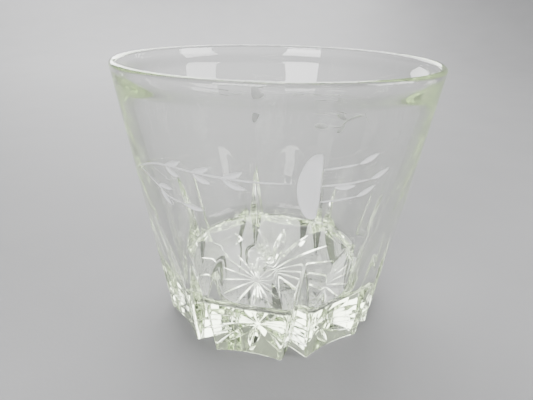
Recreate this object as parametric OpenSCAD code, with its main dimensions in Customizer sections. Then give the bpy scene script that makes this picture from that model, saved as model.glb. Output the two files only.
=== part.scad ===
// Whiskey tumbler: one piece of clear pressed glass with eight arched flutes,
// eight mitre grooves between them, a star under the base and an engraved spray.
// The ground (matte) zones of the engraving are nodes of their own, because their
// finish differs; they are cut out of the same glass and meet it face to face.
// Origin: centre of the foot plane, +Z up. The front (-Y) faces one mitre groove.

/* [Overall] */
// Diameter over the rim
rim_d = 90; // [85:0.5:95]
// Height from the foot plane to the top of the rim
height = 78; // [75:0.5:82]
// Diameter of the straight cone where it meets the foot plane
foot_d = 67.6; // [66:0.2:70]

/* [Well] */
// Thickness of glass under the floor of the well
base_t = 14.5; // [12:0.5:16]
// Wall thickness at the rounded lip
lip_t = 1.9; // [1.6:0.1:2.2]
// Wall thickness just below the lip, at the shoulder height
shoulder_t = 2.8; // [2.5:0.1:3.1]
// Height of that shoulder above the foot plane
shoulder_z = 71.5; // [69:0.5:74]
// Wall thickness at the level of the corner height below
corner_t = 4.7; // [4.2:0.1:5.2]
// Height at which that lower thickness is measured
corner_z = 24; // [22:0.5:26]
// Radius of the rounded corner between the floor and the wall
corner_r = 5; // [4:0.5:6]

/* [Flutes] */
// Number of flutes, and of the mitre grooves between them
flute_count = 8; // [8:1:8]
// Greatest depth of a flute below the cone
flute_depth = 2.9; // [2.6:0.1:3.1]
// Height at which a flute is deepest
flute_z = 10; // [8:1:12]
// Radius of the cutting wheel along the flute
flute_wheel_r = 158; // [150:2:165]
// Radius of the hollow across the flute
flute_hollow_r = 40; // [38:1:45]

/* [Mitre grooves] */
// Greatest depth that the groove would reach at its wheel's height
groove_depth = 5.9; // [5.6:0.1:6.1]
// Height of the groove wheel's axis, below the foot plane
groove_z = -15; // [-17:1:-13]
// Radius of the mitre wheel
groove_wheel_r = 208; // [202:2:214]
// Included angle of the mitre edge, in degrees
groove_angle = 70; // [66:1:74]

/* [Underside] */
// Number of rays in the star
ray_count = 16; // [16:1:16]
// Radius at which a ray is deepest
ray_mid_r = 14.5; // [14.2:0.1:14.6]
// Half the length of a ray
ray_half_len = 13.1; // [12.6:0.1:13.2]
// Greatest depth of a ray above the foot plane
ray_depth = 1.8; // [1.5:0.1:1.8]
// Included angle of the rays, in degrees
ray_angle = 96; // [88:1:97]

/* [Engraving] */
// Number of engraved sprays round the glass
spray_count = 2; // [1:1:2]
// Turn of each spray's oval from its mitre groove, in degrees
spray_turn = -1.6; // [-3:0.2:0]
// Depth of the ground surface below the cone
cut_depth = 0.3; // [0.25:0.05:0.35]
// Thickness of the matte skin behind the ground surface
skin_t = 0.25; // [0.2:0.05:0.3]
// Length of the pointed oval
oval_len = 15.8; // [14:0.2:17]
// Width of the pointed oval
oval_w = 5.2; // [4.6:0.2:6]
// Height of the oval's middle
oval_z = 55.5; // [55:0.5:56]
// Width of a stem line
stem_w = 0.4; // [0.3:0.05:0.5]
// Length of a full leaf
leaf_len = 6.2; // [5.6:0.1:6.6]
// Width of a full leaf
leaf_w = 1.3; // [1:0.1:1.6]

/* [Hidden] */
$fn = 96;

step = 360 / flute_count;
cone_slope = (rim_d - foot_d) / 2 / height;
cone_angle = atan(cone_slope);
lip_r = lip_t / 2;
lip_z = height - lip_r;
eps = 0.01;
reach = 6;
// Blocks that hold the working part of each wheel: half width, outside and inside the cone
flute_block = [11, 6, 3.4];
groove_block = [6, 4, 7];
ray_block = [3.2, 0.3, 3];
cut_above = 60;

// Engraving layout of one spray: angles in degrees from its mitre groove, heights in mm.
// A leaf is its angle, height, tilt from level and size.
leaves = [
    [-48.4, 57.8, 19, 0.8], [-48, 56.6, -24, 0.7],
    [-37.8, 57.8, 20, 0.8], [-37.2, 56.5, -20, 0.8],
    [-27.6, 57.8, 20, 0.8], [-27.2, 56.5, -20, 0.95],
    [-54.2, 51.2, 2, 0.8], [-53.5, 49.5, -42, 0.8], [-42.8, 48.3, -6, 0.95],
    [13.6, 60.4, 20, 0.85], [6.3, 55.2, -5, 0.85], [19.2, 56.1, 18, 0.9], [15, 52.2, 22, 0.85]
];
// A level stem is its height, first and last angle
level_stems = [[57.2, -50, -5.4], [60, 1.9, 11], [56.1, 2.6, 18.7], [51.9, 2.2, 14.5]];
// A sloping stem runs between two places, each an angle and a height
sloping_stems = [
    [[-66, 53.4], [-50.6, 56.9]],
    [[-61.5, 53.7], [-52.9, 50.2]],
    [[-52.4, 49.9], [-43.4, 48.5]]
];

function cone_r(z) = foot_d / 2 + cone_slope * z;
function wheel_r_for(half_len, depth) = (half_len * half_len + depth * depth) / (2 * depth);

// Points of the well: the wall's inner line runs straight from the corner to the shoulder.
shoulder_x = cone_r(shoulder_z) - shoulder_t;
inner_slope = (shoulder_x - (cone_r(corner_z) - corner_t)) / (shoulder_z - corner_z);
inner_angle = atan(inner_slope);
corner_cz = base_t + corner_r;
corner_cx = shoulder_x - inner_slope * (shoulder_z - corner_cz) - corner_r / cos(inner_angle);
lip_x = cone_r(lip_z) - lip_r / cos(cone_angle);

// Half of the glass's section before any cutting
module blank_section() {
    difference() {
        union() {
            polygon([
                [0, 0],
                [cone_r(0), 0],
                [lip_x + lip_r * cos(cone_angle), lip_z - lip_r * sin(cone_angle)],
                [lip_x - lip_r, lip_z],
                [shoulder_x, shoulder_z],
                [corner_cx + corner_r * cos(inner_angle), corner_cz - corner_r * sin(inner_angle)],
                [corner_cx, base_t],
                [0, base_t]
            ]);
            translate([lip_x, lip_z]) circle(lip_r);
        }
        translate([corner_cx, corner_cz]) circle(corner_r);
    }
}

// Puts its children on the cone: local -Y points out of the glass, +Z up the slope
module on_cone(turn, z) {
    rotate([0, 0, turn])
        translate([0, -cone_r(z), z])
            rotate([cone_angle, 0, 0])
                children();
}

// A wheel whose edge is rounded by edge_r across its width, with its axis along X
module round_wheel(wheel_r, edge_r, half_w) {
    rotate([0, 90, 0])
        rotate_extrude()
            intersection() {
                translate([wheel_r - edge_r, 0]) circle(edge_r);
                translate([0, -half_w]) square([wheel_r + eps, 2 * half_w]);
            }
}

// A wheel with a mitre (V) edge, with its axis along X
module mitre_wheel(wheel_r, angle, half_w) {
    cap = half_w / tan(angle / 2);
    rotate([0, 90, 0])
        rotate_extrude()
            polygon([[0, -half_w], [wheel_r - cap, -half_w], [wheel_r, 0], [wheel_r - cap, half_w], [0, half_w]]);
}

// Block from z low to high that is half_w wide each way and spans y from -outside to inside
module block(size, low, high) {
    translate([-size[0], -size[1], low])
        cube([2 * size[0], size[1] + size[2], high - low]);
}

module flutes() {
    for (i = [0 : flute_count - 1])
        on_cone((i + 0.5) * step, flute_z)
            intersection() {
                translate([0, flute_depth - flute_wheel_r, 0])
                    round_wheel(flute_wheel_r, flute_hollow_r, 2 * flute_block[0]);
                block(flute_block, -2 * flute_z, cut_above);
            }
}

module mitre_grooves() {
    for (i = [0 : flute_count - 1])
        on_cone(i * step, groove_z)
            intersection() {
                translate([0, groove_depth - groove_wheel_r, 0])
                    mitre_wheel(groove_wheel_r, groove_angle, 2 * groove_block[0]);
                block(groove_block, -groove_z / 2, cut_above);
            }
}

module star() {
    wheel_r = wheel_r_for(ray_half_len, ray_depth);
    for (i = [0 : ray_count - 1])
        rotate([0, 0, i * 360 / ray_count])
            translate([0, -ray_mid_r, 0])
                intersection() {
                    translate([0, 0, ray_depth - wheel_r])
                        mitre_wheel(wheel_r, ray_angle, 2 * ray_block[0]);
                    translate([-ray_block[0], -ray_half_len - 1, -ray_block[1]])
                        cube([2 * ray_block[0], 2 * ray_half_len + 2, ray_block[1] + ray_block[2]]);
                }
}

// Ring of glass between two depths below the cone, from one height to another
module shell(from_depth, to_depth, low, high) {
    rotate_extrude()
        shell_section(from_depth, to_depth, low, high);
}

module shell_section(from_depth, to_depth, low, high) {
    polygon([
        [cone_r(low) - to_depth, low],
        [cone_r(low) - from_depth, low],
        [cone_r(high) - from_depth, high],
        [cone_r(high) - to_depth, high]
    ]);
}

// Outline with two pointed ends, from the origin along +X
module pointed_outline(len, w) {
    r = wheel_r_for(len / 2, w / 2);
    intersection() {
        translate([len / 2, w / 2 - r]) circle(r);
        translate([len / 2, r - w / 2]) circle(r);
    }
}

// The part of the shell behind an outline that stands at an angle and height, tilted from level
module zone(from_depth, to_depth, turn, z, tilt, half_h) {
    intersection() {
        shell(from_depth, to_depth, z - half_h, z + half_h);
        rotate([0, 0, turn])
            translate([0, -cone_r(z) + reach / 2, z])
                rotate([90, 0, 0])
                    linear_extrude(reach)
                        rotate([0, 0, tilt])
                            children();
    }
}

module each_spray() {
    for (i = [0 : spray_count - 1])
        rotate([0, 0, i * 180])
            children();
}

module oval_zones(from_depth, to_depth) {
    each_spray()
        zone(from_depth, to_depth, spray_turn, oval_z, 90, oval_len)
            translate([-oval_len / 2, 0]) pointed_outline(oval_len, oval_w);
}

module leaf_zones(from_depth, to_depth) {
    each_spray()
        for (l = leaves)
            zone(from_depth, to_depth, l[0], l[1], l[2], leaf_len)
                pointed_outline(leaf_len * l[3], leaf_w);
}

// Straight stretch of stem between two places
module sloping_stem(from_depth, to_depth, from, to) {
    mid_z = (from[1] + to[1]) / 2;
    run = cone_r(mid_z) * (to[0] - from[0]) * PI / 180;
    rise = to[1] - from[1];
    zone(from_depth, to_depth, (from[0] + to[0]) / 2, mid_z, atan2(rise, run), abs(rise) + stem_w)
        square([norm([run, rise]), stem_w], center = true);
}

module stem_zones(from_depth, to_depth) {
    each_spray() {
        for (s = level_stems)
            rotate([0, 0, s[1] - 90])
                rotate_extrude(angle = s[2] - s[1])
                    shell_section(from_depth, to_depth, s[0] - stem_w / 2, s[0] + stem_w / 2);
        for (s = sloping_stems)
            sloping_stem(from_depth, to_depth, s[0], s[1]);
    }
}

module glass_body() {
    skin_back = cut_depth + skin_t;
    color([0.86, 0.92, 0.88, 0.5])
        difference() {
            rotate_extrude() blank_section();
            flutes();
            mitre_grooves();
            star();
            oval_zones(-1, skin_back);
            leaf_zones(-1, skin_back);
            stem_zones(-1, skin_back);
        }
}

module engraved_ovals() {
    color([0.9, 0.92, 0.92])
        oval_zones(cut_depth, cut_depth + skin_t);
}

module engraved_leaves() {
    color([0.88, 0.9, 0.9])
        leaf_zones(cut_depth, cut_depth + skin_t);
}

module engraved_stems() {
    color([0.84, 0.86, 0.86])
        stem_zones(cut_depth, cut_depth + skin_t);
}

glass_body();
engraved_ovals();
engraved_leaves();
engraved_stems();
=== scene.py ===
import math

import bpy
import numpy as np
from mathutils import Matrix, Vector


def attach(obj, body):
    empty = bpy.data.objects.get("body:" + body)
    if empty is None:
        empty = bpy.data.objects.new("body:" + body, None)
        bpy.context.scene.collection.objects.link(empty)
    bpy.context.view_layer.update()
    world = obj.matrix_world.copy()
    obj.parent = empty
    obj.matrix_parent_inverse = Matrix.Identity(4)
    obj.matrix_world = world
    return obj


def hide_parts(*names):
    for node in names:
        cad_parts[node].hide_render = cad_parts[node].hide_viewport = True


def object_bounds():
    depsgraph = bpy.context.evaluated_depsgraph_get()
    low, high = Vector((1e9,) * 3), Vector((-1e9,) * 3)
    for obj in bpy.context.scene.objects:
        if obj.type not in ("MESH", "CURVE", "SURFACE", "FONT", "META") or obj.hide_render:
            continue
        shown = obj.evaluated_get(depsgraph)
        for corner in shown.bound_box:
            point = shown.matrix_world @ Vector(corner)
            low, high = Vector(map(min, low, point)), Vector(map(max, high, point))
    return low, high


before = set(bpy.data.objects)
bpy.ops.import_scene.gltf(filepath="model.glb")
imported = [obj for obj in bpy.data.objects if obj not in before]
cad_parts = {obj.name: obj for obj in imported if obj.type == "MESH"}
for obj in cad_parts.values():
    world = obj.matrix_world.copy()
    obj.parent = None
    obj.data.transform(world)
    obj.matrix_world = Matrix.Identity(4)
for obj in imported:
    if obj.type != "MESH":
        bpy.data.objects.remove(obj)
cad_low, cad_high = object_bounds()

# ---------------------------------------------------------------- the glass, in millimetres
MM = 0.001
HEIGHT = (cad_high[2] - cad_low[2]) / MM
RIM_R = 45.0                # straight cone carried up to the rim's height
FOOT_R = 33.8               # straight cone carried down to the foot plane
SLOPE = (RIM_R - FOOT_R) / HEIGHT
CONE_ANGLE = math.atan(SLOPE)

# The well: floor, rounded corner, straight side and shoulder, each with the wall's thickness there
BASE_T = 14.5
CORNER_R = 5.0
CORNER_Z, CORNER_T = 24.0, 4.7
SHOULDER_Z, SHOULDER_T = 71.5, 2.8
LIP_T = 1.9
LIP_SLOPE = 0.02            # lean of the inside just under the lip

# The cuts: a wheel is the radius of the tool that leaves the cut, and its depth is stated at a height
FLUTES = 8
SECTOR = 2 * math.pi / FLUTES
FLUTE_DEPTH, FLUTE_Z, FLUTE_WHEEL, FLUTE_HOLLOW = 2.9, 10.0, 158.0, 40.0
GROOVE_DEPTH, GROOVE_Z, GROOVE_WHEEL = 5.9, -15.0, 208.0
GROOVE_HALF = math.radians(35)
RAYS = 16
RAY_MID, RAY_HALF_LEN, RAY_DEPTH = 14.5, 13.1, 1.8
RAY_HALF = math.radians(48)

EDGE_SOFT = 0.35            # rounding of the edges between two cuts
ROOT_SOFT = 0.12            # rounding at the bottom of a mitre groove
FOOT_SOFT = 0.45            # rounding where the wall turns under the foot
RAY_EDGE_SOFT = 0.1         # rounding of a ray's edges
RAY_ROOT_SOFT = 0.03        # rounding at the bottom of a ray

# The mesh
HALF_COLUMNS = 30           # columns from a groove's centre to a flute's centre
CROWDING = 0.38             # how much closer together the columns stand at a groove
CUT_TOP = 46.0              # above this height the wall is a plain cone
ROW = 0.55                  # height of a row below it
PLAIN_ROWS = 12             # rows above it
FOOT_ROWS = 5
UNDER_ROWS = 43
LIP_STEPS, THROAT_STEPS, SIDE_STEPS, CORNER_STEPS, FLOOR_STEPS = 18, 9, 22, 20, 8
SEARCH_LOW_R, SEARCH_MARGIN, SEARCH_STEPS = 20.0, 0.5, 36

# ---------------------------------------------------------------- the engraved spray, in millimetres
# It is cut twice round the glass. Places are degrees round from a mitre groove and heights.
SPRAY_TURNS = (0, math.pi)
OVAL_PATH = ((1.0, 63.4), (-0.8, 60.9), (-1.7, 55.6), (-0.6, 50.0), (1.1, 47.6))
OVAL_W, OVAL_DEPTH, OVAL_FULLNESS = 5.2, 0.35, 0.55
STEM_W, STEM_DEPTH = 0.36, 0.12
STEM_PATHS = (
    ((-70, 52.6), (-63, 54.7), (-56, 56.4), (-48, 57.4), (-37, 57.3), (-27, 57.1), (-17, 56.8), (-5.6, 56.7)),
    ((-65.3, 53.4), (-61.3, 52.8), (-54.3, 50.9), (-51.6, 49.5), (-48.5, 48.8), (-43.2, 48.4)),
    ((2.2, 59.8), (8.7, 60.1), (13.2, 60.4)),
    ((2.3, 55.9), (10, 55.9), (18.9, 56.1)),
    ((2.2, 51.9), (9, 52.0), (14.7, 52.2)),
)
LEAF_LEN, LEAF_W, LEAF_DEPTH, LEAF_FULLNESS = 6.2, 1.35, 0.2, 0.85
# A leaf is its foot's place, its tilt from level at the foot and at the tip in degrees, and its size
LEAVES = (
    (-48.4, 57.6, 4, 34, 0.8), (-48.2, 57.1, -38, -12, 0.7), (-37.8, 57.5, 4, 36, 0.8),
    (-37.4, 57.0, -36, -6, 0.8), (-27.6, 57.3, 2, 38, 0.8), (-27.4, 56.9, -38, -4, 0.95),
    (-54.2, 51.2, 8, -6, 0.8), (-53.5, 50.2, -50, -36, 0.8), (-43.0, 48.4, -8, -4, 0.95),
    (13.4, 60.4, 16, 26, 0.85), (6.3, 55.4, -10, 4, 0.85), (19.0, 56.1, 12, 28, 0.9),
    (14.8, 52.2, 14, 32, 0.85),
)
# Steps along a path, or from each of its knots to the next, and across it
OVAL_STEPS, OVAL_ACROSS = 12, 14
LEAF_STEPS, LEAF_ACROSS = 20, 8
STEM_STEPS, STEM_ACROSS = 8, 4

TIP_W = 0.03                # width that an oval or a leaf keeps at its tips
STEM_TIP_W, STEM_TAPER = 0.06, 8
DEEPENING = 1.5             # how soon a cut is at full depth as its outline widens
CUT_LIP = 0.02              # how far outside the wall a cut's outline runs out
TOOL_REACH = 0.4            # how far a cutting strip stands out of the wall
FILM_GAP, FILM_T = 0.01, 0.04

# ---------------------------------------------------------------- materials
# Noise scales are in cycles a metre and relief depths in metres
NOISE_LOW, NOISE_HIGH = 0.35, 0.7
GLASS_IOR = 1.52
GLASS_TINT, TINT_DENSITY = (0.925, 0.965, 0.86, 1), 42.0
HAZE_SCALE, HAZE_ROUGHNESS = 110, 0.03
WAVE_SCALE, WAVE_STRENGTH, WAVE_DEPTH = 80, 0.25, 0.00008
GROUND_COLOUR, GROUND_TRANSMISSION = (0.78, 0.785, 0.79, 1), 0.35
GROUND_ROUGHNESS = (0.5, 0.75)
GRAIN_SCALE, GRAIN_STRENGTH, GRAIN_DEPTH = 9000, 0.3, 0.00005
FLOOR_COLOURS = ((0.185, 0.185, 0.188, 1), (0.21, 0.21, 0.213, 1))
MOTTLE_SCALE = 25
PAPER_SCALE, PAPER_STRENGTH, PAPER_DEPTH = 900, 0.2, 0.0002

# ---------------------------------------------------------------- stage, light and camera, in metres
FLOOR_GAP = 0.0002          # keeps the floor's plane from coinciding with the foot's
FLOOR_R, SWEEP_R, WALL_H = 0.7, 0.6, 1.0
STAGE_SIDES, SWEEP_STEPS = 96, 16
WORLD_COLOUR, WORLD_STRENGTH = (0.96, 0.98, 1.0, 1), 0.36
LIGHT_AIM = Vector((0, 0, 0.03))
# A light is its name, its place, the side of its square and its power in watts
LIGHTS = (
    ("overhead", (-0.1, 0.0, 0.8), 0.5, 1.0),
    ("left_side", (-0.3, -0.42, 0.28), 0.3, 6.0),
    ("right_side", (0.4, -0.2, 0.2), 0.25, 3.0),
    ("behind", (0.0, 0.8, 0.6), 1.0, 32.0),
)
LIGHT_BOUNCES = 64          # light crosses the cut base many times

CAMERA_TURN = math.radians(-12.06)
CAMERA_AWAY, CAMERA_HEIGHT = 0.12818, 0.0907
CAMERA_YAW, CAMERA_PITCH, CAMERA_ROLL = -0.0169, 0.4131, -0.0225
CAMERA_LENS, CAMERA_SENSOR = 29.66, 36


# ---------------------------------------------------------------- the glass's surface
def cone_r(z):
    return FOOT_R + SLOPE * z


def soft_min(a, b, k):
    """The smaller of two distances, rounded where they meet."""
    h = np.clip(0.5 + 0.5 * (b - a) / k, 0, 1)
    return b * (1 - h) + a * h - k * h * (1 - h)


def wheel_frame(a, r, z, turn, at_z):
    """A point's place across, into and along a cut that stands on the cone at turn and at_z."""
    x = r * np.sin(a - turn)
    y = cone_r(at_z) - r * np.cos(a - turn)
    c, s = math.cos(CONE_ANGLE), math.sin(CONE_ANGLE)
    return x, y * c + (z - at_z) * s, -y * s + (z - at_z) * c


def wall_distance(a, r, z):
    """Distance into the glass from its cut outside, positive inside."""
    a = np.mod(a + SECTOR / 2, SECTOR) - SECTOR / 2
    solid = (cone_r(z) - r) * math.cos(CONE_ANGLE)
    for turn in (-SECTOR / 2, SECTOR / 2):
        x, y, s = wheel_frame(a, r, z, turn, FLUTE_Z)
        across = np.hypot(y - (FLUTE_DEPTH - FLUTE_WHEEL), s) - (FLUTE_WHEEL - FLUTE_HOLLOW)
        solid = soft_min(solid, np.hypot(across, x) - FLUTE_HOLLOW, EDGE_SOFT)
    x, y, s = wheel_frame(a, r, z, 0, GROOVE_Z)
    off = np.hypot(x, ROOT_SOFT) - ROOT_SOFT
    out = np.hypot(y - (GROOVE_DEPTH - GROOVE_WHEEL), s) - GROOVE_WHEEL
    groove = out * math.sin(GROOVE_HALF) + off * math.cos(GROOVE_HALF)
    return soft_min(solid, groove, EDGE_SOFT)


def wall_r(a, z):
    """Radius of the outside at an angle and height, found by halving."""
    low = np.full(np.broadcast(a, z).shape, SEARCH_LOW_R)
    high = cone_r(z) + SEARCH_MARGIN + 0 * low
    for _ in range(SEARCH_STEPS):
        mid = (low + high) / 2
        inside = wall_distance(a, mid, z) > 0
        low = np.where(inside, mid, low)
        high = np.where(inside, high, mid)
    return (low + high) / 2


def under_z(a, r):
    """Height of the underside at an angle and radius."""
    step = 2 * math.pi / RAYS
    a = np.mod(a + step / 2, step) - step / 2
    wheel = (RAY_HALF_LEN ** 2 + RAY_DEPTH ** 2) / (2 * RAY_DEPTH)
    reach = wheel - np.hypot(r * np.sin(a), RAY_ROOT_SOFT) / math.tan(RAY_HALF)
    ray = RAY_DEPTH - wheel + np.sqrt(np.maximum(reach ** 2 - (r * np.cos(a) - RAY_MID) ** 2, 0))
    return -soft_min(0 * ray, -ray, RAY_EDGE_SOFT)


def columns():
    """Angles of the mesh's columns: closer together at the grooves, and one on each axis of symmetry."""
    t = np.arange(HALF_COLUMNS) / HALF_COLUMNS
    half = SECTOR / 2 * ((1 - CROWDING) * t + CROWDING * t * t)
    sector = np.concatenate([half, [SECTOR / 2], SECTOR - half[:0:-1]])
    return np.concatenate([sector + i * SECTOR for i in range(FLUTES)])


def outer_rings(a):
    """Rings of the outside from the foot's edge up to the lip."""
    rings = []
    for turn in np.linspace(0, math.pi / 2, FOOT_ROWS)[:-1]:
        z = FOOT_SOFT * (1 - math.cos(turn))
        tuck = FOOT_SOFT - math.sqrt(FOOT_SOFT ** 2 - (FOOT_SOFT - z) ** 2)
        rings.append((a, wall_r(a, z + 0 * a) - tuck, z + 0 * a))
    for z in [FOOT_SOFT, *np.arange(FOOT_SOFT + ROW / 2, CUT_TOP, ROW)]:
        rings.append((a, wall_r(a, z + 0 * a), z + 0 * a))
    for z in np.linspace(CUT_TOP, HEIGHT - LIP_T, PLAIN_ROWS):
        rings.append((a, cone_r(z) + 0 * a, z + 0 * a))
    return rings


def under_rings(a):
    """Rings of the underside from the foot's edge in to the centre."""
    edge = wall_r(a, 0 * a) - FOOT_SOFT
    rings = []
    for t in np.linspace(0, 1, UNDER_ROWS)[1:-1]:
        r = edge * (1 - t)
        rings.append((a, r, under_z(a, r)))
    return rings


def inner_profile():
    """The lip and the well, as radius and height, from the lip's outside to the centre of the floor."""
    lip_r = LIP_T / 2
    lip_z = HEIGHT - lip_r
    lip_x = cone_r(lip_z) - lip_r / math.cos(CONE_ANGLE)
    shoulder = cone_r(SHOULDER_Z) - SHOULDER_T
    slope = (shoulder - (cone_r(CORNER_Z) - CORNER_T)) / (SHOULDER_Z - CORNER_Z)
    lean = math.atan(slope)
    corner_cz = BASE_T + CORNER_R
    corner_cx = shoulder - slope * (SHOULDER_Z - corner_cz) - CORNER_R / math.cos(lean)
    points = []
    for turn in np.linspace(-CONE_ANGLE, math.pi, LIP_STEPS):
        points.append((lip_x + lip_r * math.cos(turn), lip_z + lip_r * math.sin(turn)))
    for t in np.linspace(0, 1, THROAT_STEPS)[1:]:
        ease = t * t * (3 - 2 * t)
        z = lip_z + (SHOULDER_Z - lip_z) * t
        on_lip = lip_x - lip_r + LIP_SLOPE * (z - lip_z)
        on_side = shoulder + slope * (z - SHOULDER_Z)
        points.append((on_lip + (on_side - on_lip) * ease, z))
    side_end = corner_cz - CORNER_R * math.sin(lean)
    for z in np.linspace(SHOULDER_Z, side_end, SIDE_STEPS)[1:]:
        points.append((shoulder + slope * (z - SHOULDER_Z), z))
    for turn in np.linspace(lean, math.pi / 2, CORNER_STEPS)[1:]:
        points.append((corner_cx + CORNER_R * math.cos(turn), corner_cz - CORNER_R * math.sin(turn)))
    for r in np.linspace(corner_cx, 0, FLOOR_STEPS)[1:-1]:
        points.append((r, BASE_T))
    return points


def ring_points(a, r, z):
    return np.stack([r * np.sin(a), -r * np.cos(a), z], axis=1)


def band(s, t, n):
    """Faces between two rings of n points that start at s and t."""
    return [(s + j, s + (j + 1) % n, t + (j + 1) % n, t + j) for j in range(n)]


def halving_band(s, t, n):
    """Faces between a ring of 2n points that starts at s and a ring of n points that starts at t."""
    faces = []
    for j in range(n):
        near, middle, far = s + 2 * j, s + 2 * j + 1, s + (2 * j + 2) % (2 * n)
        faces.append((near, middle, t + j))
        faces.append((middle, far, t + (j + 1) % n))
        faces.append((middle, t + (j + 1) % n, t + j))
    return faces


def glass_mesh():
    """One closed mesh: underside, outside, lip and well."""
    a = columns()
    half = a[::2]
    rings = [ring_points(*ring) for ring in reversed(under_rings(a))]
    rings += [ring_points(*ring) for ring in outer_rings(a)]
    rings += [ring_points(half, r + 0 * half, z + 0 * half) for r, z in inner_profile()]
    starts = np.cumsum([0] + [len(ring) for ring in rings])
    faces = []
    for i in range(len(rings) - 1):
        same = len(rings[i]) == len(rings[i + 1])
        join = band if same else halving_band
        faces += join(starts[i], starts[i + 1], len(rings[i + 1]))
    centre = starts[-1]
    for j in range(len(a)):
        faces.append((centre, (j + 1) % len(a), j))
    last = starts[-2]
    for j in range(len(half)):
        faces.append((centre + 1, last + j, last + (j + 1) % len(half)))
    centres = np.array([[0, 0, under_z(0.0, 0.0)], [0, 0, BASE_T]])
    return np.concatenate(rings + [centres]) * MM, faces


def add_mesh(name, verts, faces, material):
    mesh = bpy.data.meshes.new(name)
    mesh.from_pydata([tuple(v) for v in verts], [], [tuple(int(i) for i in f) for f in faces])
    mesh.validate()
    mesh.materials.append(material)
    mesh.shade_smooth()
    piece = bpy.data.objects.new(name, mesh)
    bpy.context.scene.collection.objects.link(piece)
    return piece


# ---------------------------------------------------------------- the engraving
def curve(knots, steps):
    """Smooth curve through places on the wall, as distance round the cone and height."""
    points = [np.array([math.radians(a) * cone_r(z), z]) for a, z in knots]
    points = [2 * points[0] - points[1]] + points + [2 * points[-1] - points[-2]]
    path = [points[1]]
    for before, start, end, after in zip(points, points[1:], points[2:], points[3:]):
        for t in np.arange(1, steps + 1) / steps:
            bend = 2 * before - 5 * start + 4 * end - after
            twist = 3 * start - before - 3 * end + after
            path.append(start + 0.5 * ((end - before) * t + bend * t * t + twist * t ** 3))
    return np.array(path)


def sweep(place, tilts, length, steps):
    """Line from a place on the wall whose tilt from level turns evenly from one value to another."""
    start = np.array([math.radians(place[0]) * cone_r(place[1]), place[1]])
    tilt = np.radians(np.linspace(tilts[0], tilts[1], steps))
    moves = np.stack([np.cos(tilt), np.sin(tilt)], axis=1) * length / steps
    return np.vstack([start, start + np.cumsum(moves, axis=0)])


def on_wall(place, depth, turn):
    """Point at a depth below the wall, from distance round and height."""
    u, z = place
    a = u / cone_r(z) + turn
    r = cone_r(z) - depth * math.cos(CONE_ANGLE)
    return r * math.sin(a), -r * math.cos(a), z + depth * math.sin(CONE_ANGLE)


def tool_depths(cut):
    """Depths of a cutting strip's two faces, where the cut is so deep."""
    return cut, -TOOL_REACH


def film_depths(cut):
    """Depths of a matte film's two faces: it lies just clear of the cut's floor."""
    return cut - FILM_GAP, cut - FILM_GAP - FILM_T


def strip_verts(path, widths, across, depth, depths, turn):
    """Points of a closed strip along a path: all of its deeper face, then all of the other."""
    along = np.gradient(path, axis=0)
    side = np.stack([-along[:, 1], along[:, 0]], axis=1) / np.linalg.norm(along, axis=1)[:, None]
    verts = []
    for face in (0, 1):
        for i in range(len(path)):
            for v in np.linspace(-1, 1, across + 1):
                share = (1 - v * v) * min(1, widths[i] / max(widths) * DEEPENING)
                place = path[i] + side[i] * v * widths[i] / 2
                verts.append(on_wall(place, depths(depth * share - CUT_LIP)[face], turn))
    return verts


def strip_faces(steps, across):
    """Faces of a closed strip: its two faces, its two sides and its two ends."""
    row = across + 1
    top = row * (steps + 1)
    faces = []
    for i in range(steps):
        for j in range(across):
            k = i * row + j
            faces.append((k, k + 1, k + row + 1, k + row))
            faces.append((top + k, top + k + row, top + k + row + 1, top + k + 1))
        k = i * row
        faces.append((k, k + row, top + k + row, top + k))
        k += across
        faces.append((k, top + k, top + k + row, k + row))
    for j in range(across):
        k = steps * row + j
        faces.append((j, top + j, top + j + 1, j + 1))
        faces.append((k, k + 1, top + k + 1, top + k))
    return faces


def strips(cuts, depths):
    """One mesh of the closed strips of all the cuts, in both sprays."""
    verts, faces = [], []
    for path, widths, across, depth in cuts:
        for turn in SPRAY_TURNS:
            first = len(verts)
            verts += strip_verts(path, widths, across, depth, depths, turn)
            faces += [tuple(first + i for i in face) for face in strip_faces(len(path) - 1, across)]
    return np.array(verts) * MM, faces


def share_along(path):
    """How far along the path each of its points is, from 0 to 1."""
    gone = np.concatenate([[0], np.cumsum(np.linalg.norm(np.diff(path, axis=0), axis=1))])
    return gone / gone[-1]


def pointed_widths(path, width, fullness):
    """Widths of an outline that closes at both ends: a fullness of a half makes it an ellipse."""
    t = share_along(path)
    return TIP_W + width * (4 * t * (1 - t)) ** fullness


def stem_widths(path):
    t = share_along(path)
    return STEM_TIP_W + STEM_W * np.minimum(1, STEM_TAPER * np.minimum(t, 1 - t))


# A cut is its path, its widths along it, its steps across and its depth
def oval_cuts():
    path = curve(OVAL_PATH, OVAL_STEPS)
    return [(path, pointed_widths(path, OVAL_W, OVAL_FULLNESS), OVAL_ACROSS, OVAL_DEPTH)]


def leaf_cuts():
    cuts = []
    for a, z, foot_tilt, tip_tilt, size in LEAVES:
        path = sweep((a, z), (foot_tilt, tip_tilt), LEAF_LEN * size, LEAF_STEPS)
        cuts.append((path, pointed_widths(path, LEAF_W, LEAF_FULLNESS), LEAF_ACROSS, LEAF_DEPTH))
    return cuts


def stem_cuts():
    cuts = []
    for knots in STEM_PATHS:
        path = curve(knots, STEM_STEPS)
        cuts.append((path, stem_widths(path), STEM_ACROSS, STEM_DEPTH))
    return cuts


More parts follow.
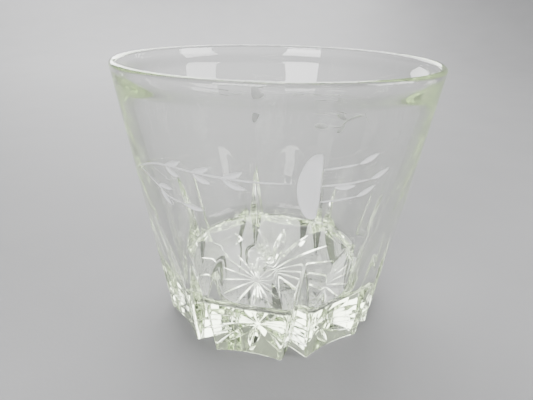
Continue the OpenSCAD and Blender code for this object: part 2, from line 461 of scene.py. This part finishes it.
def engrave(piece, cut_lists):
    """Cuts the strips out of a piece, with crisp outlines."""
    tools = []
    marker = bpy.data.materials.new("cut_marker")
    for cuts in cut_lists:
        tool = add_mesh("cut_tool", *strips(cuts, tool_depths), marker)
        modifier = piece.modifiers.new("cut", "BOOLEAN")
        modifier.operation = "DIFFERENCE"
        modifier.solver = "MANIFOLD"
        modifier.material_mode = "TRANSFER"
        modifier.object = tool
        tools.append(tool)
    shaped = piece.evaluated_get(bpy.context.evaluated_depsgraph_get())
    mesh = bpy.data.meshes.new_from_object(shaped)
    piece.modifiers.clear()
    piece.data = mesh
    sharpen_outlines(mesh)
    for tool in tools:
        bpy.data.objects.remove(tool)


def sharpen_outlines(mesh):
    """Marks the edges where a cut meets the wall as sharp, then gives every face the wall's material."""
    of_face = np.zeros(len(mesh.polygons), dtype=np.int32)
    corners = np.zeros(len(mesh.polygons), dtype=np.int32)
    edges = np.zeros(len(mesh.loops), dtype=np.int32)
    mesh.polygons.foreach_get("material_index", of_face)
    mesh.polygons.foreach_get("loop_total", corners)
    mesh.loops.foreach_get("edge_index", edges)
    of_corner = np.repeat(of_face, corners)
    least = np.full(len(mesh.edges), len(mesh.materials))
    most = np.zeros(len(mesh.edges), dtype=int)
    np.minimum.at(least, edges, of_corner)
    np.maximum.at(most, edges, of_corner)
    mesh.edges.foreach_set("use_edge_sharp", least != most)
    mesh.polygons.foreach_set("material_index", np.zeros_like(of_face))
    while len(mesh.materials) > 1:
        mesh.materials.pop()


# ---------------------------------------------------------------- materials
def new_material(name):
    material = bpy.data.materials.new(name)
    material.use_nodes = True
    nodes, links = material.node_tree.nodes, material.node_tree.links
    return material, nodes, links, nodes["Principled BSDF"]


def noise(nodes, links, scale, detail):
    """Noise over the object."""
    where = nodes.new("ShaderNodeTexCoord")
    texture = nodes.new("ShaderNodeTexNoise")
    texture.inputs["Scale"].default_value = scale
    texture.inputs["Detail"].default_value = detail
    links.new(where.outputs["Object"], texture.inputs["Vector"])
    return texture.outputs["Fac"]


def stretch(nodes, links, value, low, high):
    """A noise value's middle range stretched between two numbers."""
    span = nodes.new("ShaderNodeMapRange")
    span.inputs["From Min"].default_value = NOISE_LOW
    span.inputs["From Max"].default_value = NOISE_HIGH
    span.inputs["To Min"].default_value = low
    span.inputs["To Max"].default_value = high
    links.new(value, span.inputs["Value"])
    return span.outputs["Result"]


def relief(nodes, links, shader, value, strength, depth):
    """Slight relief from a noise value."""
    bump = nodes.new("ShaderNodeBump")
    bump.inputs["Strength"].default_value = strength
    bump.inputs["Distance"].default_value = depth
    links.new(value, bump.inputs["Height"])
    links.new(bump.outputs["Normal"], shader.inputs["Normal"])


def clear_glass():
    """Glass with a faint yellow-green tint, a trace of haze and the slight waviness of pressed glass."""
    material, nodes, links, shader = new_material("clear_glass")
    shader.inputs["Base Color"].default_value = (1, 1, 1, 1)
    shader.inputs["IOR"].default_value = GLASS_IOR
    shader.inputs["Transmission Weight"].default_value = 1.0
    haze = stretch(nodes, links, noise(nodes, links, HAZE_SCALE, 5), 0.0, HAZE_ROUGHNESS)
    links.new(haze, shader.inputs["Roughness"])
    relief(nodes, links, shader, noise(nodes, links, WAVE_SCALE, 1), WAVE_STRENGTH, WAVE_DEPTH)
    tint = nodes.new("ShaderNodeVolumeAbsorption")
    tint.inputs["Color"].default_value = GLASS_TINT
    tint.inputs["Density"].default_value = TINT_DENSITY
    links.new(tint.outputs["Volume"], nodes["Material Output"].inputs["Volume"])
    return material


def ground_glass():
    """Wheel-ground glass: white, matte and finely grained."""
    material, nodes, links, shader = new_material("ground_glass")
    shader.inputs["Base Color"].default_value = GROUND_COLOUR
    shader.inputs["IOR"].default_value = 1.5
    shader.inputs["Transmission Weight"].default_value = GROUND_TRANSMISSION
    grain = noise(nodes, links, GRAIN_SCALE, 2)
    links.new(stretch(nodes, links, grain, *GROUND_ROUGHNESS), shader.inputs["Roughness"])
    relief(nodes, links, shader, grain, GRAIN_STRENGTH, GRAIN_DEPTH)
    return material


def pale_floor():
    """Matt paper with a faint mottle."""
    material, nodes, links, shader = new_material("pale_floor")
    shader.inputs["Roughness"].default_value = 0.7
    mottle = nodes.new("ShaderNodeValToRGB")
    for element, colour in zip(mottle.color_ramp.elements, FLOOR_COLOURS):
        element.color = colour
    links.new(noise(nodes, links, MOTTLE_SCALE, 6), mottle.inputs["Fac"])
    links.new(mottle.outputs["Color"], shader.inputs["Base Color"])
    relief(nodes, links, shader, noise(nodes, links, PAPER_SCALE, 3), PAPER_STRENGTH, PAPER_DEPTH)
    return material


# ---------------------------------------------------------------- stage, light and camera
def make_stage():
    """A pale floor that curves up into a wall all round."""
    a = np.linspace(0, 2 * math.pi, STAGE_SIDES, endpoint=False)
    profile = [(FLOOR_R / 2, 0.0), (FLOOR_R, 0.0)]
    for turn in np.linspace(0, math.pi / 2, SWEEP_STEPS + 1)[1:]:
        profile.append((FLOOR_R + SWEEP_R * math.sin(turn), SWEEP_R * (1 - math.cos(turn))))
    profile.append((FLOOR_R + SWEEP_R, WALL_H))
    rings = [ring_points(a, r + 0 * a, z - FLOOR_GAP + 0 * a) for r, z in profile]
    faces = [tuple(range(STAGE_SIDES))]
    for i in range(len(rings) - 1):
        outward = band(i * STAGE_SIDES, (i + 1) * STAGE_SIDES, STAGE_SIDES)
        faces += [face[::-1] for face in outward]
    floor = add_mesh("floor", np.concatenate(rings), faces, pale_floor())


def make_lights():
    world = bpy.data.worlds.new("studio")
    bpy.context.scene.world = world
    world.use_nodes = True
    sky = world.node_tree.nodes["Background"]
    sky.inputs["Color"].default_value = WORLD_COLOUR
    sky.inputs["Strength"].default_value = WORLD_STRENGTH
    for name, place, size, power in LIGHTS:
        data = bpy.data.lights.new(name, "AREA")
        data.size = size
        data.energy = power
        light = bpy.data.objects.new(name, data)
        light.location = place
        light.rotation_euler = (LIGHT_AIM - Vector(place)).to_track_quat("-Z", "Y").to_euler()
        bpy.context.scene.collection.objects.link(light)


def make_camera():
    """The view of the photograph: 12 degrees round to the left of the front, looking 24 degrees down."""
    yaw = CAMERA_YAW - CAMERA_TURN
    data = bpy.data.cameras.new("camera")
    data.sensor_width = CAMERA_SENSOR
    data.lens = CAMERA_LENS
    data.clip_start = 0.005
    camera = bpy.data.objects.new("camera", data)
    camera.location = (
        CAMERA_AWAY * math.sin(CAMERA_TURN),
        -CAMERA_AWAY * math.cos(CAMERA_TURN),
        CAMERA_HEIGHT,
    )
    level = math.cos(CAMERA_PITCH)
    forward = Vector((math.sin(yaw) * level, math.cos(yaw) * level, -math.sin(CAMERA_PITCH)))
    right = Vector((math.cos(yaw), -math.sin(yaw), 0))
    down = forward.cross(right)
    side = math.cos(CAMERA_ROLL) * right + math.sin(CAMERA_ROLL) * down
    under = math.cos(CAMERA_ROLL) * down - math.sin(CAMERA_ROLL) * right
    camera.rotation_euler = Matrix((side, -under, -forward)).transposed().to_euler()
    bpy.context.scene.collection.objects.link(camera)
    bpy.context.scene.camera = camera


# ---------------------------------------------------------------- the scene
make_camera()
make_stage()
make_lights()
glass = add_mesh("tumbler", *glass_mesh(), clear_glass())
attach(glass, "root")
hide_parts("glass_body")
matte = ground_glass()
engrave(glass, (oval_cuts(), leaf_cuts(), stem_cuts()))
for piece_name, name, cuts in (
    ("ground_ovals", "engraved_ovals", oval_cuts()),
    ("ground_leaves", "engraved_leaves", leaf_cuts()),
    ("ground_stems", "engraved_stems", stem_cuts()),
):
    film = add_mesh(piece_name, *strips(cuts, film_depths), matte)
    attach(film, "root")
    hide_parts(name)

bpy.context.scene.cycles.max_bounces = LIGHT_BOUNCES
bpy.context.scene.cycles.transmission_bounces = LIGHT_BOUNCES
bpy.context.scene.cycles.glossy_bounces = LIGHT_BOUNCES
